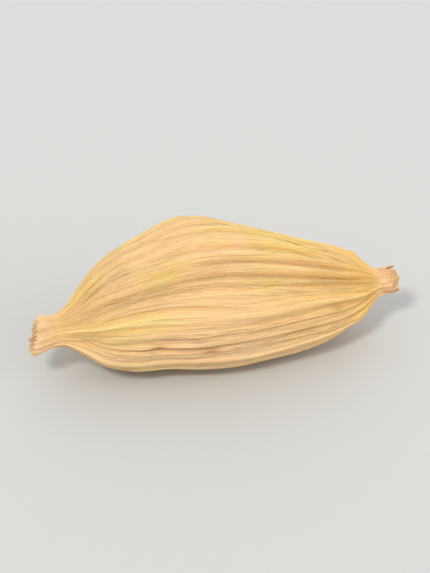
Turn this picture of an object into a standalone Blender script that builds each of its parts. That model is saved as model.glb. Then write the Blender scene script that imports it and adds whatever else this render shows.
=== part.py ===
# A dried cardamom pod lying on one of its three faces, stalk end at -X and tip at +X.
# Metres, +Z up. The origin is under the middle of the pod, on the surface it rests on.

import bmesh
import bpy
from math import acos, atan2, cos, exp, pi, radians, sin
from mathutils import Vector

# Driving dimensions
POD_LENGTH = 0.0217  # stalk end to tip, along the axis
POD_WIDTH = 0.0082  # across the widest part, ribs left out
MAIN_RIBS = 15  # five on each of the three faces, running from end to end
RIB_HEIGHT = 0.00020  # the tallest rib, groove to crest
FLAT_DEPTH = 0.00012  # how much of the lowest face the small flat spot takes off

# Mesh density
COLUMNS_PER_RIB = 8  # crest, flank, groove and flank of a main rib and of the minor rib beside it
RINGS = 46

# The turned outline, from the hollow in the stalk's broken end to the tip:
# (share of the pod's length, share of half its width)
OUTLINE = [
    (0.014, 0.000),
    (0.011, 0.120),
    (0.000, 0.205),
    (0.012, 0.268),
    (0.034, 0.232),
    (0.056, 0.214),
    (0.085, 0.262),
    (0.125, 0.415),
    (0.175, 0.650),
    (0.240, 0.805),
    (0.320, 0.895),
    (0.415, 1.000),
    (0.520, 0.990),
    (0.620, 0.905),
    (0.715, 0.775),
    (0.800, 0.640),
    (0.866, 0.460),
    (0.908, 0.280),
    (0.934, 0.190),
    (0.966, 0.172),
    (0.992, 0.126),
    (1.000, 0.000),
]

# Three blunt angles: one up, the other two low at the front and the back
ANGLE_COUNT = 3
ANGLE_HEIGHT = 0.055  # share of the radius
FLATTENING = 0.020  # share of the radius, squeezed front to back

# The ribs are unevenly spaced, wander a little and turn slightly round the pod
RIB_SPACING = [(5, 0.034, 0.6), (8, 0.019, 2.1), (13, 0.011, 4.0)]  # (waves, radians, phase)
RIB_WANDER = 0.030  # radians
RIB_TWIST = 0.16  # radians from end to end
MINOR_RIB = 0.75  # height beside a main rib's, in the middle; it dies out towards both ends

# Grooves that drying has drawn in deeper. They are counted from the top towards the
# front, one on each side of every main rib: (number, start, end, depth)
FURROWS = [
    (2, 0.34, 0.95, 0.00022),
    (3, 0.30, 0.94, 0.00022),
    (6, 0.46, 0.86, 0.00010),
    (8, 0.10, 0.58, 0.00014),
    (11, 0.20, 0.90, 0.00016),
    (17, 0.08, 0.80, 0.00018),
    (21, 0.25, 0.94, 0.00020),
    (24, 0.10, 0.62, 0.00016),
    (27, 0.30, 0.92, 0.00018),
]

# Broad hollows and swellings: (angle, place along, reach, half width, rise)
SWELLINGS = [
    (radians(74), 0.62, 0.17, radians(26), 0.00030),
    (radians(66), 0.26, 0.10, radians(30), -0.00018),
    (radians(330), 0.40, 0.12, radians(32), 0.00042),
    (radians(328), 0.69, 0.15, radians(34), -0.00070),
    (radians(145), 0.36, 0.12, radians(30), -0.00014),
    (radians(143), 0.73, 0.13, radians(30), 0.00026),
    (radians(250), 0.66, 0.14, radians(32), 0.00024),
    (radians(265), 0.33, 0.10, radians(28), -0.00016),
]

# The ribs are worn low where the pod rests: (angle, place along, reach, half width)
WORN = (radians(180), 0.50, 0.20, radians(34))

# Pleats where the husk is drawn in to the stalk and to the tip: (middle, reach, share of radius)
PLEAT_COUNT = 9
PLEATS = [(0.125, 0.050, 0.075), (0.885, 0.045, 0.085)]

# The stalk broke off at a slant, and the tip leans
STALK_SLANT = 0.32  # share of the radius
SLANT_TOWARDS = radians(330)
TIP_LEAN = 0.00014  # backwards

# How the pod bends
ARCH = 0.00090  # how far the middle stands above the line from end to end
ARCH_LEAN = radians(-30)  # the arch leans this far to the back
SWAY = 0.00016  # sideways


def smooth_step(low, high, value):
    share = min(1.0, max(0.0, (value - low) / (high - low)))
    return share * share * (3.0 - 2.0 * share)


def outline_at(share):
    """Distance from the stalk end and radius, on a smooth curve through OUTLINE."""
    spans = len(OUTLINE) - 1
    first = min(int(share * spans), spans - 1)
    t = share * spans - first
    points = [Vector(OUTLINE[min(max(first + k, 0), spans)]) for k in (-1, 0, 1, 2)]
    before, start, end, after = points
    leave, arrive = (end - before) / 2, (after - start) / 2
    place = (
        (2 * t**3 - 3 * t**2 + 1) * start
        + (t**3 - 2 * t**2 + t) * leave
        + (3 * t**2 - 2 * t**3) * end
        + (t**3 - t**2) * arrive
    )
    return place.x, max(place.y, 0.0) * POD_WIDTH / 2


def angle_gap(angle, other):
    return (angle - other + pi) % (2 * pi) - pi


def patch(angle, along, middle, place, reach, half_width):
    """1 in the middle of a soft-edged patch of the skin, falling to 0 round it."""
    return exp(-((angle_gap(angle, middle) / half_width) ** 2) - ((along - place) / reach) ** 2)


def rib_angle(column_angle, along):
    """Where round the pod a mesh column lies, so that every rib runs along mesh edges."""
    uneven = sum(size * sin(waves * column_angle + phase) for waves, size, phase in RIB_SPACING)
    wander = RIB_WANDER * sin(8.2 * along + 3 * column_angle) * sin(pi * along)
    return column_angle + uneven + wander + RIB_TWIST * (along - 0.5)


def rib_relief(column_angle, along):
    """Crests on every main rib, and lower ones between them that die out towards the ends."""
    crest = (0.5 + 0.5 * cos(2 * MAIN_RIBS * column_angle)) ** 1.4
    on_main = 0.5 + 0.5 * cos(MAIN_RIBS * column_angle)
    minor = MINOR_RIB * smooth_step(0.10, 0.28, along) * smooth_step(0.92, 0.74, along)
    weight = minor + (1 - minor) * on_main
    strength = 0.68 + 0.32 * sin(7 * column_angle + 1.3) * sin(4 * column_angle + 5.0 * along)
    return RIB_HEIGHT * strength * (crest * weight - 0.35)


def furrow_relief(column_angle, along):
    spacing = pi / MAIN_RIBS
    depth = 0.0
    for number, start, end, size in FURROWS:
        across = angle_gap(column_angle, (number + 0.5) * spacing) / (0.36 * spacing)
        fade = smooth_step(start, start + 0.14, along) * smooth_step(end, end - 0.10, along)
        depth += size * fade * exp(-across * across)
    return -depth


def swelling_relief(angle, along):
    return sum(
        rise * patch(angle, along, middle, place, reach, half_width)
        for middle, place, reach, half_width, rise in SWELLINGS
    )


def pleat_relief(angle, along, radius):
    fold = cos(PLEAT_COUNT * angle + 0.8) + 0.4 * cos(5 * angle + 2.0)
    return sum(
        size * radius * fold * exp(-(((along - middle) / reach) ** 2))
        for middle, reach, size in PLEATS
    )


def centreline_at(along):
    """Sideways and upward offset of the pod's own axis."""
    rise = ARCH * sin(pi * min(1.0, along * 1.02)) ** 1.3
    sway = SWAY * sin(2 * pi * along) + TIP_LEAN * smooth_step(0.90, 1.0, along)
    return Vector((0.0, sway - rise * sin(ARCH_LEAN), rise * cos(ARCH_LEAN)))


def husk_point(share, column_angle):
    """A point of the pod's skin. Angle 0 is up and a quarter turn is the front."""
    along, radius = outline_at(share)
    angle = rib_angle(column_angle, along)
    body = smooth_step(0.06, 0.20, along) * smooth_step(0.95, 0.82, along)
    section = 1 + body * (ANGLE_HEIGHT * cos(ANGLE_COUNT * angle) + FLATTENING * cos(2 * angle))
    kept = 1 - 0.8 * patch(angle, along, *WORN)
    fullness = min(1.0, radius / (0.55 * POD_WIDTH / 2))
    relief = kept * fullness * (rib_relief(column_angle, along) + furrow_relief(column_angle, along))
    relief += body * swelling_relief(angle, along) + pleat_relief(angle, along, radius)
    slant = STALK_SLANT * radius * cos(angle - SLANT_TOWARDS) * smooth_step(0.07, 0.0, along)
    outward = Vector((0.0, -sin(angle), cos(angle)))
    start = Vector((along * POD_LENGTH + slant, 0.0, 0.0)) + centreline_at(along)
    return start + (radius * section + relief) * outward


def lay_down(mesh):
    """Stands the pod over the origin, with its lowest face just under z = 0."""
    corners = [[pick(v.co[axis] for v in mesh.verts) for axis in range(3)] for pick in (min, max)]
    low, high = (Vector(corner) for corner in corners)
    middle = (low + high) / 2
    bmesh.ops.translate(mesh, vec=(-middle.x, -middle.y, -low.z - FLAT_DEPTH), verts=mesh.verts)


def make_pod(collection, material):
    """A UV sphere with a pole at each end of the pod, every vertex moved to its place on the husk."""
    mesh = bmesh.new()
    bmesh.ops.create_uvsphere(mesh, u_segments=MAIN_RIBS * COLUMNS_PER_RIB, v_segments=RINGS, radius=1.0)
    for vertex in mesh.verts:
        share = acos(max(-1.0, min(1.0, -vertex.co.z))) / pi
        vertex.co = husk_point(share, -atan2(vertex.co.y, vertex.co.x))
    lay_down(mesh)
    bmesh.ops.recalc_face_normals(mesh, faces=mesh.faces)
    data = bpy.data.meshes.new("cardamom_pod")
    mesh.to_mesh(data)
    mesh.free()
    data.shade_smooth()
    data.materials.append(material)
    pod = bpy.data.objects.new("cardamom_pod", data)
    collection.objects.link(pod)
    return pod


def cut_flat_spot(pod, collection):
    """Takes off what lies under z = 0, which leaves the small flat spot that the pod rests on."""
    bpy.ops.mesh.primitive_cube_add(size=1.0, location=(0.0, 0.0, -POD_WIDTH / 2))
    cutter = bpy.context.object
    cutter.name = "surface_cutter"
    cutter.scale = (POD_LENGTH * 1.2, POD_WIDTH * 1.6, POD_WIDTH)
    cutter.hide_render = True
    cutter.display_type = "WIRE"
    for holder in list(cutter.users_collection):
        holder.objects.unlink(cutter)
    collection.objects.link(cutter)
    cut = pod.modifiers.new("flat_spot", "BOOLEAN")
    cut.operation = "DIFFERENCE"
    cut.solver = "EXACT"
    cut.object = cutter


def husk_material():
    material = bpy.data.materials.new("dry_husk")
    material.use_nodes = True
    shader = material.node_tree.nodes["Principled BSDF"]
    shader.inputs["Base Color"].default_value = (0.76, 0.50, 0.23, 1.0)
    shader.inputs["Roughness"].default_value = 0.62
    shader.inputs["Metallic"].default_value = 0.0
    material.diffuse_color = (0.76, 0.50, 0.23, 1.0)
    return material


def main():
    for old in list(bpy.data.objects):
        bpy.data.objects.remove(old)
    parts = bpy.data.collections.new("Cardamom_pod")
    cutters = bpy.data.collections.new("Cutters")
    for collection in (parts, cutters):
        bpy.context.scene.collection.children.link(collection)
    pod = make_pod(parts, husk_material())
    cut_flat_spot(pod, cutters)


main()
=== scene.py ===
# A dried cardamom pod on a pale table: its ribbed husk, the frayed fibres of its broken stalk,
# the withered scraps of flower at its tip and the few hairs that have lifted off its ribs.
import math
import random

import bpy
import numpy as np
from mathutils import Matrix, Vector, noise


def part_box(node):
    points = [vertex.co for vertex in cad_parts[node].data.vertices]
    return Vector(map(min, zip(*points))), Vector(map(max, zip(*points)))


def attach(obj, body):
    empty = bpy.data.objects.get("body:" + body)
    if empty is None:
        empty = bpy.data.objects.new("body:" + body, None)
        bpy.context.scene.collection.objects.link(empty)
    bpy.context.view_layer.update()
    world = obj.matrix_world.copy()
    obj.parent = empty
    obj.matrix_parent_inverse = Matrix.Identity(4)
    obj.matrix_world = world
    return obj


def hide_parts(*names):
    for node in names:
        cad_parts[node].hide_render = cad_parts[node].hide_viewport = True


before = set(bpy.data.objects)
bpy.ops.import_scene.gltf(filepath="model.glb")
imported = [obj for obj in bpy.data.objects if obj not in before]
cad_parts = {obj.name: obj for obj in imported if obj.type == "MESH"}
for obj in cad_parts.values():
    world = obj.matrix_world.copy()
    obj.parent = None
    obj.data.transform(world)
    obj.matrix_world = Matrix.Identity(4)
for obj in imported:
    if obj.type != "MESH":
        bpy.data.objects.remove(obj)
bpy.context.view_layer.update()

cadLow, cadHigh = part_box("cardamom_pod")

# The pod's form, in metres and in shares of its length, width and radius. Angles go round the
# pod from the top towards the front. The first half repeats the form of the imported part.
husk = {
    "length": 0.0217,
    "width": 0.0082,
    "mainRibs": 15,
    "ribHeight": 0.00020,
    "outline": [
        (0.014, 0.000), (0.011, 0.120), (0.000, 0.205), (0.012, 0.268), (0.034, 0.232), (0.056, 0.214),
        (0.085, 0.262), (0.125, 0.415), (0.175, 0.650), (0.240, 0.805), (0.320, 0.895), (0.415, 1.000),
        (0.520, 0.990), (0.620, 0.905), (0.715, 0.775), (0.800, 0.640), (0.866, 0.460), (0.908, 0.280),
        (0.934, 0.190), (0.966, 0.172), (0.992, 0.126), (1.000, 0.000),
    ],
    "angleHeight": 0.055,  # three blunt angles
    "flattening": 0.020,
    "ribSpacing": [(5, 0.034, 0.6), (8, 0.019, 2.1), (13, 0.011, 4.0)],  # waves, radians, phase
    "ribWander": 0.030,
    "ribTwist": 0.16,
    "minorRib": 0.75,
    "crestSharpness": 1.4,
    "fullRibs": 0.55,  # share of half the width from which the ribs have their full height
    "furrowWidth": 0.36,  # in ribs
    "furrows": [  # groove number, start, end, depth
        (2, 0.34, 0.95, 0.00022), (3, 0.30, 0.94, 0.00022), (6, 0.46, 0.86, 0.00010),
        (8, 0.10, 0.58, 0.00014), (11, 0.20, 0.90, 0.00016), (17, 0.08, 0.80, 0.00018),
        (21, 0.25, 0.94, 0.00020), (24, 0.10, 0.62, 0.00016), (27, 0.30, 0.92, 0.00018),
    ],
    "swellings": [  # degrees, place along, reach, half width in degrees, rise
        (74, 0.62, 0.17, 26, 0.00030), (66, 0.26, 0.10, 30, -0.00018), (330, 0.40, 0.12, 32, 0.00042),
        (328, 0.69, 0.15, 34, -0.00070), (145, 0.36, 0.12, 30, -0.00014), (143, 0.73, 0.13, 30, 0.00026),
        (250, 0.66, 0.14, 32, 0.00024), (265, 0.33, 0.10, 28, -0.00016),
    ],
    "worn": (180, 0.50, 0.20, 34),  # degrees, place along, reach, half width in degrees
    "wear": 0.8,  # share of the ribs' height that is gone there
    "pleats": [(0.125, 0.050, 0.075), (0.885, 0.045, 0.085)],  # place along, reach, share of radius
    "pleatCount": 9,
    "stalkSlant": (0.32, 330),  # share of radius, degrees
    "tipLean": 0.00014,
    "arch": 0.00090,
    "archLean": -30,
    "sway": 0.00016,
    # What only the fine skin has
    "segments": 620,
    "rings": 160,
    "fineCrestSharpness": 1.8,
    "fineFurrowWidth": 0.23,
    "seedBumps": (0.00008, 330),  # height, bumps a metre
    "ribBreaks": 0.45,  # how much the ribs rise and fall along their length
    "ribDrift": 0.42,  # how far they wander, in rib widths
    "threads": [  # raised fibres that wander, join and part: height, waves across, waves along, width
        (0.000062, 7.5, 1.5, 0.14), (0.000046, 15.0, 2.2, 0.20),
    ],
    "grain": (0.000022, 22, 4.0),  # height, waves across, waves along
    "puckers": (0.000055, 9, 34),
    "stubRidges": (0.000045, 23),  # height, ridges round the stalk stub
    "tipFolds": (0.000040, 9),
    "tipDent": (0.00030, 0.00046),  # depth, radius
    "hollowFade": (0.00095, 0.00060),  # radii over which the stalk's hollow break gets painted shade
    # radii over which the tip's dent gets painted shade
    "dentShadeFade": (0.00050, 0.00022),
    "raggedRim": 0.00012,
    "poleFade": 0.0009,  # radius within which the fine relief dies out towards both ends
    "scarShape": (1.3, 0.7),  # length along and width round the pod, in radii
    "scars": [  # degrees, place along, radius in metres, depth
        (98, 0.300, 0.00034, 0.00008), (105, 0.435, 0.00034, 0.00008), (22, 0.600, 0.00026, 0.00005),
        (85, 0.790, 0.00024, 0.00006), (120, 0.420, 0.00030, 0.00005), (345, 0.300, 0.00030, 0.00007),
        (300, 0.550, 0.00034, 0.00008), (235, 0.420, 0.00026, 0.00006), (268, 0.730, 0.00030, 0.00006),
    ],
}

curveSamples = 4001  # points along the outline when a place on it is looked up
rimShare = 2 / (len(husk["outline"]) - 1)  # where the outline turns over the rim of the stalk's break
deepestFurrow = max(depth for *_, depth in husk["furrows"])
deepestScar = max(depth for *_, depth in husk["scars"])

stalkFibres = {
    "count": 64,
    "sides": 8,
    "radius": 0.000058,
    "profile": [  # rise in lengths, sideways in radii, narrowing
        (0.45, 0.0, 0.94), (0.28, 0.30, 0.86), (0.18, 0.42, 0.70), (0.09, 0.18, 0.40),
    ],
    "thickness": (0.6, 1.5),  # times the radius
    "length": (0.00004, 0.00022),  # that stands out
    "buried": 0.00010,
    "spread": 0.92,  # share of the rim's radius that they fill
    "lean": 15,  # degrees
    "turn": 2.39996,  # radians from one fibre to the next, which spreads them evenly
    "scatter": 0.3,  # radians either way
    "seed": 5,
}

tipScraps = {
    "sides": 54,
    "start": 0.928,  # place along the pod
    "rings": [  # metres from the start, radius
        (0.00000, 0.00062), (0.00012, 0.00071), (0.00030, 0.00076), (0.00056, 0.00077),
        (0.00080, 0.00077), (0.00102, 0.00077), (0.00122, 0.00077),
    ],
    "pleats": 9,
    "folds": 0.00004,  # how deep the pleats and crinkles are at the rim
    "raggedness": 0.00024,
    "thickness": 0.000035,
    "tears": [  # degrees, depth, half width in sides
        (24, 0.30, 3), (101, 0.18, 2), (170, 0.42, 3), (262, 0.24, 2), (318, 0.36, 2),
    ],
}

looseHairs = {
    "radius": 0.000024,
    "taper": (1.0, 1.0, 0.85, 0.65, 0.30),
    "lift": (-0.00003, 0.00003, 0.00010, 0.00019, 0.00026),  # off the skin, from root to free end
    "runs": [  # degrees, root and free end along the pod, sideways drift in degrees, share of the lift
        (40, 0.115, 0.205, 3, 1.0), (88, 0.150, 0.095, -5, 1.3), (66, 0.835, 0.915, 4, 1.0),
        (14, 0.230, 0.120, 2, 0.8), (104, 0.640, 0.735, -3, 0.7), (352, 0.560, 0.480, 3, 0.6),
        (300, 0.140, 0.250, 3, 1.1), (250, 0.820, 0.915, -4, 1.0), (205, 0.150, 0.240, 3, 0.8),
        (142, 0.760, 0.850, 3, 0.8),
    ],
}


def smoothStep(low, high, value):
    share = np.clip((value - low) / (high - low), 0.0, 1.0)
    return share * share * (3.0 - 2.0 * share)


def angleGap(angle, other):
    return (angle - other + np.pi) % (2 * np.pi) - np.pi


def patch(angle, along, degrees, place, reach, halfWidth):  # 1 in the middle, falling to 0 round it
    across = angleGap(angle, np.radians(degrees)) / np.radians(halfWidth)
    return np.exp(-(across**2) - ((along - place) / reach) ** 2)


def noiseAt(angle, along, acrossWaves, alongWaves, seed):  # each seed gives a pattern of its own
    x = np.cos(angle) * acrossWaves + 17.3 * seed
    y = np.sin(angle) * acrossWaves - 9.1 * seed
    z = along * alongWaves + 5.7 * seed
    return np.array([noise.noise((a, b, c)) for a, b, c in zip(x.tolist(), y.tolist(), z.tolist())])


def outlineAt(share):  # place along the pod and radius, on a smooth curve through the outline
    knots = np.array(husk["outline"])
    spans = len(knots) - 1
    first = np.clip((share * spans).astype(int), 0, spans - 1)
    t = (share * spans - first)[:, None]
    before, start, end, after = (knots[np.clip(first + k, 0, spans)] for k in (-1, 0, 1, 2))
    leave, arrive = (end - before) / 2, (after - start) / 2
    place = (2 * t**3 - 3 * t**2 + 1) * start + (t**3 - 2 * t**2 + t) * leave
    place += (3 * t**2 - 2 * t**3) * end + (t**3 - t**2) * arrive
    return place[:, 0], np.maximum(place[:, 1], 0.0) * husk["width"] / 2


def evenShare(step):  # spaces the rings evenly along the skin
    dense = np.linspace(0.0, 1.0, curveSamples)
    along, radius = outlineAt(dense)
    travel = np.hypot(np.diff(along * husk["length"]), np.diff(radius))
    travel = np.concatenate([[0.0], np.cumsum(travel)])
    return np.interp(step * travel[-1], travel, dense)


def ribAngle(column, along):
    angle = column + husk["ribTwist"] * (along - 0.5)
    for waves, size, phase in husk["ribSpacing"]:
        angle = angle + size * np.sin(waves * column + phase)
    return angle + husk["ribWander"] * np.sin(8.2 * along + 3 * column) * np.sin(np.pi * along)


def ribRelief(column, along, sharpness):  # height, and how near the crest of its rib each point is
    ribs = husk["mainRibs"]
    crest = (0.5 + 0.5 * np.cos(2 * ribs * column)) ** sharpness
    onMain = 0.5 + 0.5 * np.cos(ribs * column)
    minor = husk["minorRib"] * smoothStep(0.10, 0.28, along) * smoothStep(0.92, 0.74, along)
    weight = minor + (1 - minor) * onMain
    strength = 0.68 + 0.32 * np.sin(7 * column + 1.3) * np.sin(4 * column + 5.0 * along)
    return husk["ribHeight"] * strength * (crest * weight - 0.35), crest * weight


def furrowRelief(column, along, width):
    spacing = np.pi / husk["mainRibs"]
    depth = np.zeros_like(along)
    for number, start, end, size in husk["furrows"]:
        across = angleGap(column, (number + 0.5) * spacing) / (width * spacing)
        fade = smoothStep(start, start + 0.14, along) * smoothStep(end, end - 0.10, along)
        depth += size * fade * np.exp(-across * across)
    return -depth


def pleatRelief(angle, along, radius):  # where the husk is drawn in to the stalk and to the tip
    fold = np.cos(husk["pleatCount"] * angle + 0.8) + 0.4 * np.cos(5 * angle + 2.0)
    return sum(
        size * radius * fold * np.exp(-(((along - place) / reach) ** 2))
        for place, reach, size in husk["pleats"]
    )


def centrelineAt(along):  # how far the pod's own axis is moved sideways and up
    rise = husk["arch"] * np.abs(np.sin(np.pi * np.minimum(1.0, along * 1.02))) ** 1.3
    lean = math.radians(husk["archLean"])
    sway = husk["sway"] * np.sin(2 * np.pi * along) + husk["tipLean"] * smoothStep(0.90, 1.0, along)
    return sway - rise * math.sin(lean), rise * math.cos(lean)


def threadLines(column, along):  # height, and where the raised fibres run
    height, lines = np.zeros_like(along), np.zeros_like(along)
    for seed, (rise, across, lengthwise, width) in enumerate(husk["threads"], start=20):
        line = np.exp(-((noiseAt(column, along, across, lengthwise, seed) / width) ** 2))
        height += rise * line
        lines = np.maximum(lines, line)
    return height, lines


def fineRelief(column, angle, along, radius, crest):  # height, and where the raised fibres and scars are
    body = smoothStep(0.05, 0.16, along) * smoothStep(0.97, 0.86, along)
    stub = smoothStep(0.095, 0.055, along)
    tip = smoothStep(0.90, 0.955, along)
    height, perMetre = husk["seedBumps"]
    across, lengthwise = perMetre * husk["width"] / 2, perMetre * husk["length"]
    relief = height * body * noiseAt(angle, along, across, lengthwise, 1)
    threads, lines = threadLines(column, along)
    relief += threads * (0.35 + 0.65 * body)
    height, across, lengthwise = husk["grain"]
    relief += height * noiseAt(column, along, across, lengthwise, 4)
    height, across, lengthwise = husk["puckers"]
    towardsEnds = 0.48 + smoothStep(0.30, 0.12, along) + smoothStep(0.74, 0.90, along)
    relief += height * noiseAt(angle, along, across, lengthwise, 5) * (1.2 - crest) * towardsEnds * body
    height, ridges = husk["stubRidges"]
    uneven = 0.55 + 1.5 * noiseAt(column, along, 3.0, 4, 14)
    relief += height * stub * uneven * np.cos(ridges * column + 5.5 * noiseAt(angle, along, 3.0, 9, 10))
    relief += 1.5 * height * stub * noiseAt(angle, along, 4, 34, 11)
    height, folds = husk["tipFolds"]
    relief += height * tip * np.cos(folds * angle + 1.8 * noiseAt(angle, along, 1.5, 16, 12))
    relief += 0.8 * height * tip * noiseAt(angle, along, 3, 40, 13)
    scars = np.zeros_like(along)
    scarLength, scarWidth = husk["scarShape"]
    for degrees, place, size, depth in husk["scars"]:
        reach = scarLength * size / husk["length"]
        halfWidth = math.degrees(scarWidth * size / (husk["width"] / 2))
        scar = patch(angle, along, degrees, place, reach, halfWidth)
        relief -= depth * scar
        scars = np.maximum(scars, scar * depth / deepestScar)
    return relief * np.minimum(1.0, radius / husk["poleFade"]), lines, scars


def huskForm(share, column, fine):  # points of the skin, their place along the pod, masks for the look
    along, radius = outlineAt(share)
    drift = 0.0
    if fine:
        drift = husk["ribDrift"] * np.pi / husk["mainRibs"] * noiseAt(column, along, 2.2, 3.5, 6)
        drift *= smoothStep(0.05, 0.25, along) * smoothStep(0.97, 0.80, along)
    angle = ribAngle(column + drift, along)
    body = smoothStep(0.06, 0.20, along) * smoothStep(0.95, 0.82, along)
    section = 1 + body * (husk["angleHeight"] * np.cos(3 * angle) + husk["flattening"] * np.cos(2 * angle))
    kept = 1 - husk["wear"] * patch(angle, along, *husk["worn"])
    fullness = np.minimum(1.0, radius / (husk["fullRibs"] * husk["width"] / 2))
    ribs, crest = ribRelief(column, along, husk["fineCrestSharpness" if fine else "crestSharpness"])
    if fine:
        ribs = ribs * (1 + husk["ribBreaks"] * noiseAt(column, along, 4, 7, 7))
    furrows = furrowRelief(column, along, husk["fineFurrowWidth" if fine else "furrowWidth"])
    relief = kept * fullness * (ribs + furrows) + pleatRelief(angle, along, radius)
    for degrees, place, reach, halfWidth, rise in husk["swellings"]:
        relief += body * rise * patch(angle, along, degrees, place, reach, halfWidth)
    share, towards = husk["stalkSlant"]
    slant = share * radius * np.cos(angle - math.radians(towards)) * smoothStep(0.07, 0.0, along)
    lines = scars = np.zeros_like(along)
    if fine:
        skin, lines, scars = fineRelief(column, angle, along, radius, crest)
        relief = relief + (0.4 + 0.6 * kept) * skin
        rim = np.exp(-(((along - 0.004) / 0.010) ** 2)) * smoothStep(0.0004, 0.0008, radius)
        ragged = noiseAt(angle, along, 3.4, 30, 8) + noiseAt(angle, along, 9, 30, 9)
        slant += husk["raggedRim"] * rim * ragged
        depth, width = husk["tipDent"]
        slant -= depth * smoothStep(width, 0.3 * width, radius) * smoothStep(0.5, 0.9, along)
    sideways, up = centrelineAt(along)
    reach = radius * section + relief
    x = along * husk["length"] + slant
    points = np.stack([x, sideways - reach * np.sin(angle), up + reach * np.cos(angle)], axis=1)
    masks = {
        "crest": crest,
        "furrow": np.clip(-furrows / deepestFurrow, 0.0, 1.0),
        "thread": lines,
        "scar": scars,
        "radius": radius,
    }
    return points, along, masks


def placeInFrame():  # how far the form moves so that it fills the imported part's box
    steps = np.linspace(0, 1, 180)
    columns = np.linspace(0, 2 * np.pi, 240, endpoint=False)
    step, column = np.meshgrid(steps, columns)
    points = huskForm(evenShare(step.ravel()), column.ravel(), False)[0]
    low, high = points.min(axis=0), points.max(axis=0)
    move = (np.array(cadLow) + np.array(cadHigh) - low - high) / 2
    move[2] = cadHigh.z - high[2]
    return move


frameMove = placeInFrame()


def deselectAll():
    if bpy.context.object and bpy.context.object.mode != "OBJECT":
        bpy.ops.object.mode_set(mode="OBJECT")
    bpy.ops.object.select_all(action="DESELECT")


def faceOutward(weld=None):  # and first joins points that are closer together than this
    bpy.ops.object.mode_set(mode="EDIT")
    bpy.ops.mesh.select_all(action="SELECT")
    if weld:
        bpy.ops.mesh.remove_doubles(threshold=weld)
    bpy.ops.mesh.normals_make_consistent(inside=False)
    bpy.ops.object.mode_set(mode="OBJECT")


def addAttribute(piece, name, kind, values):
    attribute = piece.data.attributes.new(name, kind, "POINT")
    field = "vector" if kind == "FLOAT_VECTOR" else "value"
    attribute.data.foreach_set(field, np.asarray(values, dtype=np.float32).ravel())


def makeHusk(material):
    # Half a circle is turned round the pod's axis, and every point of that ball then moves onto the husk
    deselectAll()
    bpy.ops.mesh.primitive_circle_add(
        vertices=2 * husk["rings"], radius=1.0, rotation=(0.0, 0.0, math.pi / 2))
    skin = bpy.context.object
    skin.name = skin.data.name = "ribbed_husk"
    bpy.ops.object.transform_apply(rotation=True)
    bpy.ops.object.mode_set(mode="EDIT")
    bpy.ops.mesh.select_all(action="SELECT")
    bpy.ops.mesh.bisect(plane_co=(0, 0, 0), plane_no=(0, 1, 0), clear_inner=True)
    bpy.ops.object.mode_set(mode="OBJECT")
    turn = skin.modifiers.new("turn", "SCREW")
    turn.axis = "X"
    turn.steps = turn.render_steps = husk["segments"]
    turn.use_merge_vertices = True
    turn.merge_threshold = 1e-6
    bpy.ops.object.modifier_apply(modifier="turn")
    ball = np.empty(len(skin.data.vertices) * 3, dtype=np.float32)
    skin.data.vertices.foreach_get("co", ball)
    ball = ball.reshape(-1, 3).astype(float)
    column = np.arctan2(-ball[:, 1], ball[:, 2])
    step = np.arccos(np.clip(-ball[:, 0], -1.0, 1.0)) / np.pi
    points, along, masks = huskForm(evenShare(step), column, True)
    points += frameMove
    points[:, 2] = np.maximum(points[:, 2], cadLow.z)  # the small flat spot it rests on
    skin.data.vertices.foreach_set("co", points.astype(np.float32).ravel())
    skin.data.update()
    faceOutward()
    bpy.ops.object.shade_smooth()
    fibreWay = np.stack([np.cos(column), np.sin(column), along], axis=1)
    addAttribute(skin, "fibreWay", "FLOAT_VECTOR", fibreWay)
    for name in ("crest", "furrow", "thread", "scar"):
        addAttribute(skin, name, "FLOAT", masks[name])
    # Painted shade in the hollow break of the stalk and in the dent of the tip
    stalkHollowShade = smoothStep(*husk["hollowFade"], masks["radius"]) * smoothStep(0.5, 0.3, along)
    stalkHollowShade *= smoothStep(0.0, 0.35, 1 - step * 9)
    tipDentShade = smoothStep(*husk["dentShadeFade"], masks["radius"]) * smoothStep(0.6, 0.9, along)
    addAttribute(skin, "hollow", "FLOAT", stalkHollowShade + tipDentShade)
    skin.data.materials.append(material)
    return skin


def onHusk(along, degrees):  # points of the fine skin and the way out of it there
    dense = np.linspace(rimShare, 1.0, curveSamples)
    shares = np.interp(along, outlineAt(dense)[0], dense)
    points, along = huskForm(shares, np.radians(degrees), True)[:2]
    sideways, up = centrelineAt(along)
    middle = np.stack([points[:, 0], sideways, up], axis=1)
    out = (points - middle) / np.linalg.norm(points - middle, axis=1)[:, None]
    return points + frameMove, out


def gatherCopies(name, master, placings, material):
    copies = []
    for placing in placings:
        copy = master.copy()
        copy.data = master.data.copy()
        copy.matrix_world = placing
        bpy.context.scene.collection.objects.link(copy)
        copies.append(copy)
    bpy.data.objects.remove(master)
    return joinAll(name, copies, material)


def joinAll(name, pieces, material):
    deselectAll()
    for piece in pieces:
        piece.select_set(True)
    bpy.context.view_layer.objects.active = pieces[0]
    bpy.ops.object.transform_apply(location=True, rotation=True, scale=True)
    bpy.ops.object.join()
    joined = bpy.context.object
    joined.name = joined.data.name = name
    bpy.ops.object.shade_smooth()
    joined.data.materials.clear()
    joined.data.materials.append(material)
    return joined


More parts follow.
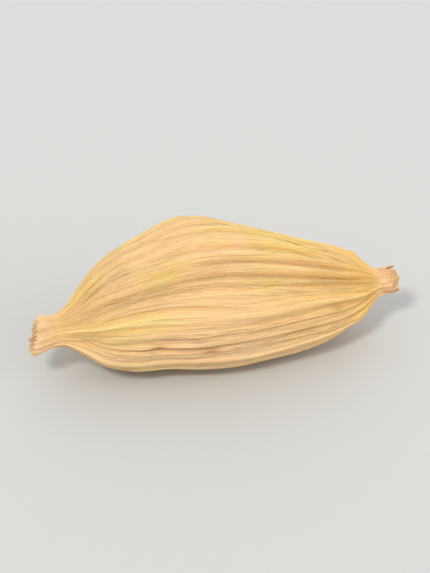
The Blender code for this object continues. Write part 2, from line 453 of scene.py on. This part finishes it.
def makeStalkFibres(material):
    # One frayed fibre end, drawn out and narrowed upwards; its copies fill the broken end of the stalk
    radius = stalkFibres["radius"]
    count, scatter = stalkFibres["count"], stalkFibres["scatter"]
    deselectAll()
    bpy.ops.mesh.primitive_circle_add(vertices=stalkFibres["sides"], radius=radius, fill_type="NGON")
    fibre = bpy.context.object
    bpy.ops.object.mode_set(mode="EDIT")
    bpy.ops.mesh.select_all(action="SELECT")
    for rise, sideways, narrowing in stalkFibres["profile"]:
        bpy.ops.mesh.extrude_region_move(TRANSFORM_OT_translate={"value": (sideways * radius, 0.0, rise)})
        bpy.ops.transform.resize(value=(narrowing, narrowing, narrowing))
    faceOutward()
    chance = random.Random(stalkFibres["seed"])
    shares, columns = [], []
    for number in range(count):
        shares.append(stalkFibres["spread"] * math.sqrt((number + 0.5) / count) * rimShare)
        columns.append(number * stalkFibres["turn"] + chance.uniform(-scatter, scatter))
    roots = huskForm(np.array(shares), np.array(columns), True)[0] + frameMove
    placings = []
    for root in roots:
        lean = math.radians(chance.gauss(0, stalkFibres["lean"] / 2))
        turn = Matrix.Rotation(chance.uniform(0, 2 * math.pi), 3, "X")
        turn = turn @ Matrix.Rotation(-math.pi / 2 + lean, 3, "Y")
        turn = turn @ Matrix.Rotation(chance.uniform(0, 2 * math.pi), 3, "Z")
        thickness = chance.uniform(*stalkFibres["thickness"])
        length = chance.uniform(*stalkFibres["length"]) + stalkFibres["buried"]
        start = Vector(root) + Vector((stalkFibres["buried"], 0.0, 0.0))
        scale = Vector((thickness, thickness, length))
        placings.append(Matrix.LocRotScale(start, turn.to_quaternion(), scale))
    return gatherCopies("stalk_fibres", fibre, placings, material)


def makeTipScraps(material):
    # A papery tube drawn out ring by ring round the tip, folded, torn at its rim, then thickened
    sides = tipScraps["sides"]
    rings = tipScraps["rings"]
    deselectAll()
    bpy.ops.mesh.primitive_circle_add(vertices=sides, radius=rings[0][1], fill_type="NOTHING")
    tube = bpy.context.object
    bpy.ops.object.mode_set(mode="EDIT")
    bpy.ops.mesh.select_all(action="SELECT")
    for (below, narrow), (place, wide) in zip(rings, rings[1:]):
        bpy.ops.mesh.extrude_region_move(TRANSFORM_OT_translate={"value": (0.0, 0.0, place - below)})
        bpy.ops.transform.resize(value=(wide / narrow, wide / narrow, 1.0))
    bpy.ops.object.mode_set(mode="OBJECT")
    top = rings[-1][0]
    for vertex in tube.data.vertices:
        angle = math.atan2(vertex.co.y, vertex.co.x)
        height = vertex.co.z / top
        swing = noise.noise((2.2 * math.cos(angle), 2.2 * math.sin(angle), 1.7 + 1.2 * height))
        crinkle = noise.noise((7 * math.cos(angle), 7 * math.sin(angle), 4.1 + 2.5 * height))
        fray = noise.noise((5 * math.cos(angle), 5 * math.sin(angle), 9.3))
        out = Vector((math.cos(angle), math.sin(angle), 0.0))
        fold = 0.7 * math.cos(tipScraps["pleats"] * angle + 1.1) + 1.2 * swing + 1.8 * crinkle
        vertex.co += out * tipScraps["folds"] * height * fold
        vertex.co.z += tipScraps["raggedness"] * height**2 * (0.6 * swing + 1.2 * fray)
        for degrees, depth, halfWidth in tipScraps["tears"]:
            gap = abs(angleGap(angle, math.radians(degrees))) * sides / (2 * math.pi)
            vertex.co.z -= depth * top * height**2 * max(0.0, 1.0 - gap / (halfWidth + 0.5))
    paper = tube.modifiers.new("paper", "SOLIDIFY")
    paper.thickness = tipScraps["thickness"]
    paper.offset = 1.0
    bpy.ops.object.modifier_apply(modifier="paper")
    faceOutward()
    places = np.full(4, tipScraps["start"])
    tube.location = onHusk(places, np.array([0.0, 90.0, 180.0, 270.0]))[0].mean(axis=0)
    tube.rotation_euler = (0.0, math.pi / 2, 0.0)
    return joinAll("tip_scraps", [tube], material)


def makeLooseHairs(material):
    lifts = looseHairs["lift"]
    steps = np.linspace(0.0, 1.0, len(lifts))
    hairs = []
    for degrees, root, end, drift, share in looseHairs["runs"]:
        places, out = onHusk(root + (end - root) * steps, degrees + drift * steps**2)
        deselectAll()
        bpy.ops.curve.primitive_nurbs_path_add()
        path = bpy.context.object
        path.data.dimensions = "3D"
        path.data.resolution_u = 6
        path.data.bevel_depth = looseHairs["radius"]
        path.data.bevel_resolution = 1
        path.data.use_fill_caps = True
        spline = path.data.splines[0]
        spline.use_endpoint_u = True
        for point, place, way, lift, taper in zip(spline.points, places, out, lifts, looseHairs["taper"]):
            point.co = Vector(place + way * lift * share).to_4d()
            point.radius = taper
        bpy.ops.object.convert(target="MESH")
        hairs.append(bpy.context.object)
    joined = joinAll("loose_hairs", hairs, material)
    faceOutward(weld=1e-7)
    return joined


# Shader helpers
def addNode(tree, kind, settings=None, inputs=None):
    node = tree.nodes.new("ShaderNode" + kind)
    for name, value in (settings or {}).items():
        setattr(node, name, value)
    for key, value in (inputs or {}).items():
        if isinstance(value, bpy.types.NodeSocket):
            tree.links.new(value, node.inputs[key])
        else:
            node.inputs[key].default_value = value
    return node


def calculate(tree, operation, first, second):
    return addNode(tree, "Math", {"operation": operation}, {0: first, 1: second}).outputs[0]


def multiply(tree, first, *others):
    for other in others:
        first = calculate(tree, "MULTIPLY", first, other)
    return first


def stretch(tree, vector, scale):
    return addNode(tree, "VectorMath", {"operation": "MULTIPLY"}, {0: vector, 1: scale}).outputs[0]


def remap(tree, value, fromLow, fromHigh, toLow=0.0, toHigh=1.0):
    inputs = {"Value": value, "From Min": fromLow, "From Max": fromHigh, "To Min": toLow, "To Max": toHigh}
    return addNode(tree, "MapRange", {"interpolation_type": "SMOOTHSTEP"}, inputs).outputs["Result"]


def mixColour(tree, factor, first, second):
    return addNode(tree, "Mix", {"data_type": "RGBA"}, {0: factor, 6: first, 7: second}).outputs[2]


def colour(red, green, blue):  # from the 0 to 255 values a picture editor shows
    values = [value / 255 for value in (red, green, blue)]
    return tuple(v / 12.92 if v <= 0.04045 else ((v + 0.055) / 1.055) ** 2.4 for v in values) + (1.0,)


def newGroup(name, inputs, outputs):
    tree = bpy.data.node_groups.new(name, "ShaderNodeTree")
    for label, kind, value in inputs:
        socket = tree.interface.new_socket(name=label, in_out="INPUT", socket_type=kind)
        if value is not None:
            socket.default_value = value
    for label in outputs:
        tree.interface.new_socket(name=label, in_out="OUTPUT", socket_type="NodeSocketFloat")
    return tree, tree.nodes.new("NodeGroupInput").outputs, tree.nodes.new("NodeGroupOutput").inputs


def placeGroup(tree, group, inputs):
    return addNode(tree, "Group", {"node_tree": group}, inputs).outputs


def makeStreakGroup():  # long drawn-out fibres
    tree, given, made = newGroup(
        "fibreStreaks",
        [("Vector", "NodeSocketVector", None), ("Across", "NodeSocketFloat", 40.0),
         ("Along", "NodeSocketFloat", 4.0), ("Contrast", "NodeSocketFloat", 0.16)],
        ["Streak", "Height"],
    )
    scale = addNode(tree, "CombineXYZ", None, {0: given["Across"], 1: given["Across"], 2: given["Along"]})
    drawn = stretch(tree, given["Vector"], scale.outputs[0])
    broad = addNode(tree, "TexNoise", None, {
        "Vector": drawn, "Scale": 1.0, "Detail": 4.0, "Roughness": 0.58}).outputs[0]
    thin = addNode(tree, "TexNoise", None, {
        "Vector": drawn, "Scale": 2.9, "Detail": 2.0, "Roughness": 0.50}).outputs[0]
    low = calculate(tree, "SUBTRACT", 0.5, given["Contrast"])
    high = calculate(tree, "ADD", 0.5, given["Contrast"])
    tree.links.new(remap(tree, broad, low, high), made["Streak"])
    tree.links.new(calculate(tree, "ADD", broad, multiply(tree, thin, 0.45)), made["Height"])
    return tree


def makeBlotchGroup():  # soft-edged patches where the skin dried unevenly
    tree, given, made = newGroup(
        "dryBlotches",
        [("Vector", "NodeSocketVector", None), ("Scale", "NodeSocketFloat", 300.0),
         ("Seed", "NodeSocketFloat", 0.0), ("Cover", "NodeSocketFloat", 0.45)],
        ["Mask"],
    )
    shift = addNode(tree, "VectorMath", {"operation": "ADD"}, {0: given["Vector"], 1: given["Seed"]})
    cloud = addNode(tree, "TexNoise", None, {
        "Vector": shift.outputs[0], "Scale": given["Scale"],
        "Detail": 4.0, "Roughness": 0.55, "Distortion": 0.4})
    edge = calculate(tree, "SUBTRACT", 0.78, multiply(tree, given["Cover"], 0.5))
    start = calculate(tree, "SUBTRACT", edge, 0.16)
    tree.links.new(remap(tree, cloud.outputs[0], start, edge), made["Mask"])
    return tree


def makeSpeckGroup():  # small dark specks
    tree, given, made = newGroup(
        "speckles",
        [("Vector", "NodeSocketVector", None), ("Scale", "NodeSocketFloat", 1500.0),
         ("Size", "NodeSocketFloat", 0.20), ("Share", "NodeSocketFloat", 0.2)],
        ["Mask"],
    )
    cells = addNode(tree, "TexVoronoi", None, {
        "Vector": given["Vector"], "Scale": given["Scale"], "Randomness": 1.0})
    chance = addNode(tree, "SeparateColor", None, {0: cells.outputs["Color"]})
    chosen = calculate(tree, "LESS_THAN", chance.outputs[0], given["Share"])
    dot = remap(tree, cells.outputs["Distance"], given["Size"], 0.02)
    tree.links.new(multiply(tree, dot, chosen), made["Mask"])
    return tree


def readAttribute(tree, name, output):
    return addNode(tree, "Attribute", {"attribute_name": name}).outputs[output]


def newMaterial(name):
    material = bpy.data.materials.new(name)
    material.use_nodes = True
    tree = material.node_tree
    return material, tree, tree.nodes["Principled BSDF"]


def addBump(tree, height, distance, strength, under=None):
    inputs = {"Height": height, "Distance": distance, "Strength": strength}
    if under is not None:
        inputs["Normal"] = under
    return addNode(tree, "Bump", None, inputs).outputs[0]


huskFinish = {
    "colours": {
        "straw": colour(230, 192, 111),
        "palest": colour(249, 223, 174),
        "tan": colour(207, 153, 76),
        "golden": colour(246, 196, 90),
        # brown for streaks and scars, and painted shade in the grooves
        "brownAndGrooveShade": colour(182, 129, 56),
        "paintedFurrowShade": colour(132, 84, 36),
        "olive": colour(228, 191, 80),
        "rosy": colour(238, 189, 146),
        "stub": colour(242, 203, 154),
        "torn": colour(206, 160, 112),
        "speck": colour(142, 96, 50),
    },
    "streaks": {  # waves across, waves along, contrast
        "broad": (12.0, 3.0, 0.15),
        "fine": (30.0, 3.2, 0.13),
        "hair": (62.0, 4.8, 0.13),
        "dash": (22.0, 5.0, 0.20),
    },
    "blotches": {  # scale, seed, cover
        "pale": (400.0, 0.12, 0.72),
        "olive": (360.0, 0.31, 0.84),
        "rosy": (420.0, 0.47, 0.50),
    },
    "blotchStretch": (0.36, 1.0, 1.0),
    "specks": {"Scale": 9.0, "Size": 0.20, "Share": 0.13},
    "speckStretch": (1.0, 1.0, 2.2),
    "paintedLightSide": (-0.54, 0.84, 0.0),  # the low front side, which gets painted light: the way round the pod, as cosine and sine of the rib column
    "layers": [  # mask, strength and colour, laid over the straw in this order
        ("broad", 0.50, "tan"),
        ("pale", 0.80, "palest"),
        # painted shade along the groove bottoms, over a browner tone
        ("lines", 1.0, "brownAndGrooveShade"),
        ("dashes", 0.42, "brownAndGrooveShade"),
        # paler rib crests, partly worn and partly a painted highlight
        ("paleCrestsAndHighlight", 0.45, "palest"),
        ("fine", 0.38, "brownAndGrooveShade"),
        ("hair", 0.34, "palest"),
        ("threads", 0.54, "palest"),
        ("olive", 0.50, "olive"),
        ("rosy", 0.52, "rosy"),
        # painted light: the low front side made rosier
        ("low", 0.26, "rosy"),
        # painted highlight along the low front edge, in the stub's pale colour
        ("lowest", 0.34, "stub"),
        ("tipwards", 0.38, "golden"),
        # painted shade in the deepest furrows
        ("paintedFurrowShade", 1.0, "paintedFurrowShade"),
        ("scars", 1.0, "brownAndGrooveShade"),
        ("ends", 0.30, "golden"),
        # paler neck, partly its own pale tone and partly painted light lifting the shade of its folds
        ("neck", 0.20, "palest"),
        # painted shade in the grooves where the husk is drawn in
        ("paintedDrawnInShade", 0.20, "brownAndGrooveShade"),
        ("dusty", 1.0, "stub"),
        ("torn", 0.36, "torn"),
        # painted shade in the stalk's hollow break and the tip's dent, in the torn fibres' colour
        ("hollow", 0.75, "torn"),
        ("specks", 0.45, "speck"),
    ],
    "roughness": (0.44, 0.68),
    "hairBump": 0.00006,
    "fineBump": 0.00013,
    "speckBump": (0.00003, 0.5),  # distance, strength
    "shader": {
        "Specular IOR Level": 0.38,
        "Sheen Weight": 0.08,
        "Sheen Roughness": 0.45,
        "Subsurface Weight": 0.06,
        "Subsurface Radius": (1.0, 0.6, 0.3),
        "Subsurface Scale": 0.0003,
    },
}


def makeHuskMaterial(groups):
    look = huskFinish
    material, tree, shader = newMaterial("dry_husk")
    way = readAttribute(tree, "fibreWay", "Vector")
    crest = readAttribute(tree, "crest", "Fac")
    furrow = readAttribute(tree, "furrow", "Fac")
    thread = readAttribute(tree, "thread", "Fac")
    scar = readAttribute(tree, "scar", "Fac")
    along = addNode(tree, "SeparateXYZ", None, {0: way}).outputs[2]
    front = addNode(tree, "VectorMath", {"operation": "DOT_PRODUCT"}, {0: way, 1: look["paintedLightSide"]})
    low = front.outputs["Value"]
    streaks = {}
    for name, (across, lengthwise, contrast) in look["streaks"].items():
        inputs = {"Vector": way, "Across": across, "Along": lengthwise, "Contrast": contrast}
        streaks[name] = placeGroup(tree, groups["streaks"], inputs)
    stretched = stretch(tree, addNode(tree, "TexCoord").outputs["Object"], look["blotchStretch"])
    masks = {}
    for name, (scale, seed, cover) in look["blotches"].items():
        inputs = {"Vector": stretched, "Scale": scale, "Seed": seed, "Cover": cover}
        masks[name] = placeGroup(tree, groups["blotches"], inputs)["Mask"]
    drawn = stretch(tree, way, look["speckStretch"])
    masks["specks"] = placeGroup(tree, groups["specks"], {"Vector": drawn, **look["specks"]})["Mask"]
    for name in ("broad", "fine", "hair"):
        masks[name] = streaks[name]["Streak"]
    masks["dashes"] = calculate(tree, "POWER", streaks["dash"]["Streak"], 4.0)

    # The drawn-in neck by the stalk and beak by the tip, and the stalk stub with the tip's own end
    masks["neck"] = multiply(tree, remap(tree, along, 0.20, 0.09), remap(tree, along, 0.045, 0.075))
    beak = multiply(tree, remap(tree, along, 0.80, 0.91), remap(tree, along, 0.965, 0.935))
    ends = masks["ends"] = calculate(tree, "ADD", masks["neck"], beak)
    stub = calculate(tree, "ADD", remap(tree, along, 0.085, 0.035), remap(tree, along, 0.905, 0.945))
    # A thin brown line between ribs that comes and goes, a browner tone darkened as painted shade in the
    # groove; paler rib crests, partly worn and partly a painted highlight; and paler raised fibres
    comesAndGoes = remap(tree, streaks["broad"]["Height"], 0.52, 0.86, 0.15, 0.95)
    fadesAtEnds = remap(tree, ends, 0.0, 1.0, 1.0, 0.35)
    masks["lines"] = multiply(tree, remap(tree, crest, 0.16, 0.0), comesAndGoes, fadesAtEnds)
    masks["paleCrestsAndHighlight"] = remap(tree, crest, 0.40, 1.0)
    masks["threads"] = remap(tree, thread, 0.35, 1.0)
    # Painted light low at the front: rosier, then paler towards the edge as a painted highlight; and more
    # golden towards the tip
    masks["low"] = remap(tree, low, 0.45, 1.0)
    masks["lowest"] = remap(tree, low, 0.80, 1.0)
    masks["tipwards"] = remap(tree, along, 0.50, 0.92)
    # Painted shade darkens the deepest furrows, less where the husk is drawn in at the ends
    furrowShadeStrength = remap(tree, ends, 0.0, 1.0, 0.42, 0.12)
    masks["paintedFurrowShade"] = multiply(tree, calculate(tree, "POWER", furrow, 3.0), furrowShadeStrength)
    masks["scars"] = multiply(tree, scar, remap(tree, masks["fine"], 0.0, 1.0, 0.48, 0.85))
    # Painted shade in the grooves where the husk is drawn in, a pale stub and tip with torn fibres, and
    # painted shade in the hollow break and the tip's dent
    masks["paintedDrawnInShade"] = multiply(tree, ends, remap(tree, crest, 0.6, 0.0))
    masks["dusty"] = multiply(tree, stub, remap(tree, masks["fine"], 0.0, 1.0, 0.95, 0.72))
    masks["torn"] = multiply(tree, stub, calculate(tree, "POWER", masks["fine"], 2.0))
    masks["hollow"] = readAttribute(tree, "hollow", "Fac")
    tone = look["colours"]["straw"]
    for name, strength, over in look["layers"]:
        tone = mixColour(tree, multiply(tree, masks[name], strength), tone, look["colours"][over])
    tree.links.new(tone, shader.inputs["Base Color"])
    tree.links.new(remap(tree, masks["fine"], 0.0, 1.0, *look["roughness"]), shader.inputs["Roughness"])

    # The fibres crowd together where the pod narrows, so their bumps get lower there
    girth = multiply(
        tree, remap(tree, along, 0.04, 0.26, 0.44, 0.9), remap(tree, along, 0.96, 0.76, 0.42, 1.0))
    normal = addBump(tree, streaks["hair"]["Height"], look["hairBump"], girth)
    normal = addBump(tree, streaks["fine"]["Height"], look["fineBump"], girth, normal)
    normal = addBump(tree, multiply(tree, masks["specks"], -1.0), *look["speckBump"], normal)
    tree.links.new(normal, shader.inputs["Normal"])
    for name, value in look["shader"].items():
        shader.inputs[name].default_value = value
    return material


scrapFinish = {
    # straw, streak, roughness
    "stalk_pith": (colour(234, 196, 150), colour(180, 136, 92), 0.85),
    "withered_petal": (colour(243, 202, 152), colour(176, 124, 76), 0.72),
    "husk_hair": (colour(238, 208, 150), colour(190, 146, 88), 0.60),
    # The same for all three
    "fibres": {"Across": 7000.0, "Along": 900.0, "Contrast": 0.12},
    "patches": {"Scale": 1500.0, "Seed": 0.55, "Cover": 0.70},
    "brownedRim": 0.0009,  # how far from the pod's end the torn rim at the tip turns brown
    "strengths": (0.55, 0.22, 0.6),  # of the fibres, the patches and the browned rim
    "bump": (0.00003, 0.6),  # distance, strength
    "specular": 0.30,
}


def makeScrapMaterial(name, groups):
    look = scrapFinish
    tone, streak, roughness = look[name]
    material, tree, shader = newMaterial(name)
    place = addNode(tree, "TexCoord").outputs["Object"]
    split = addNode(tree, "SeparateXYZ", None, {0: place}).outputs
    turned = addNode(tree, "CombineXYZ", None, {0: split[1], 1: split[2], 2: split[0]}).outputs[0]
    fibres = placeGroup(tree, groups["streaks"], {"Vector": turned, **look["fibres"]})
    patches = placeGroup(tree, groups["blotches"], {"Vector": place, **look["patches"]})
    browned = remap(tree, split[0], cadHigh.x - look["brownedRim"], cadHigh.x)
    for mask, strength in zip((fibres["Streak"], patches["Mask"], browned), look["strengths"]):
        tone = mixColour(tree, multiply(tree, mask, strength), tone, streak)
    tree.links.new(tone, shader.inputs["Base Color"])
    tree.links.new(addBump(tree, fibres["Height"], *look["bump"]), shader.inputs["Normal"])
    shader.inputs["Roughness"].default_value = roughness
    shader.inputs["Specular IOR Level"].default_value = look["specular"]
    return material


paleTable = {
    "size": 3.0,
    "below": 0.00002,  # under the pod's flat spot
    "colour": (0.552, 0.552, 0.548, 1.0),
    "roughness": 0.85,
}


def makeFloor():
    deselectAll()
    height = cadLow.z - paleTable["below"]
    bpy.ops.mesh.primitive_plane_add(size=paleTable["size"], location=(0.0, 0.0, height))
    floor = bpy.context.object
    floor.name = "pale_table"
    material, tree, shader = newMaterial("pale_table")
    shader.inputs["Base Color"].default_value = paleTable["colour"]
    shader.inputs["Roughness"].default_value = paleTable["roughness"]
    floor.data.materials.append(material)


camera = {
    "azimuth": -15.0,  # degrees, from the front towards the stalk end
    "elevation": 35.0,
    "lens": 150.0,
    "sensor": 36.0,
    "shape": 430 / 573,  # the picture's width to its height
    "viewWidth": 0.0246,  # metres across the picture, at the pod
}

lights = [  # name, where it comes from, how wide it looks in degrees, watts a square metre, colour
    ("key", (-0.14, -0.16, 0.24), 11, 1.57, (0.97, 0.975, 0.915)),
    ("fill", (0.26, -0.20, 0.14), 50, 0.80, (0.98, 0.985, 0.99)),
    ("back", (0.10, 0.26, 0.22), 50, 0.46, (1.0, 1.0, 1.0)),
]
roomBrightness = 0.74


def addFacing(name, data, place, way):  # puts a lamp or camera in the scene, looking that way
    thing = bpy.data.objects.new(name, data)
    thing.location = place
    thing.rotation_mode = "QUATERNION"
    thing.rotation_quaternion = way.to_track_quat("-Z", "Y")
    bpy.context.scene.collection.objects.link(thing)
    return thing


def makeCamera():
    azimuth, elevation = math.radians(camera["azimuth"]), math.radians(camera["elevation"])
    back = Vector((
        math.sin(azimuth) * math.cos(elevation),
        -math.cos(azimuth) * math.cos(elevation),
        math.sin(elevation),
    ))
    distance = camera["viewWidth"] * camera["lens"] / (camera["sensor"] * camera["shape"])
    data = bpy.data.cameras.new("camera")
    data.lens = camera["lens"]
    data.sensor_width = camera["sensor"]
    data.clip_start = distance * 0.05
    aim = (cadLow + cadHigh) / 2
    bpy.context.scene.camera = addFacing("camera", data, aim + back * distance, -back)


def makeLights():
    for name, place, width, watts, tint in lights:
        data = bpy.data.lights.new(name, "SUN")
        data.angle, data.energy, data.color = math.radians(width), watts, tint
        addFacing(name, data, place, -Vector(place))
    world = bpy.data.worlds.new("soft_room")
    world.use_nodes = True
    background = world.node_tree.nodes["Background"]
    background.inputs["Color"].default_value = (1.0, 1.0, 1.0, 1.0)
    background.inputs["Strength"].default_value = roomBrightness
    bpy.context.scene.world = world
    bpy.context.scene.view_settings.view_transform = "Standard"


groups = {"streaks": makeStreakGroup(), "blotches": makeBlotchGroup(), "specks": makeSpeckGroup()}
skin = makeHusk(makeHuskMaterial(groups))
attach(skin, "root")
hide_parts("cardamom_pod")
print("husk:", len(skin.data.polygons), "faces")

makers = [
    (makeStalkFibres, "stalk_pith"),
    (makeTipScraps, "withered_petal"),
    (makeLooseHairs, "husk_hair"),
]
for make, finish in makers:
    piece = make(makeScrapMaterial(finish, groups))
    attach(piece, "root")
    print(piece.name + ":", len(piece.data.polygons), "faces")

makeFloor()
makeLights()
makeCamera()
print("stage, lights and camera are in place")
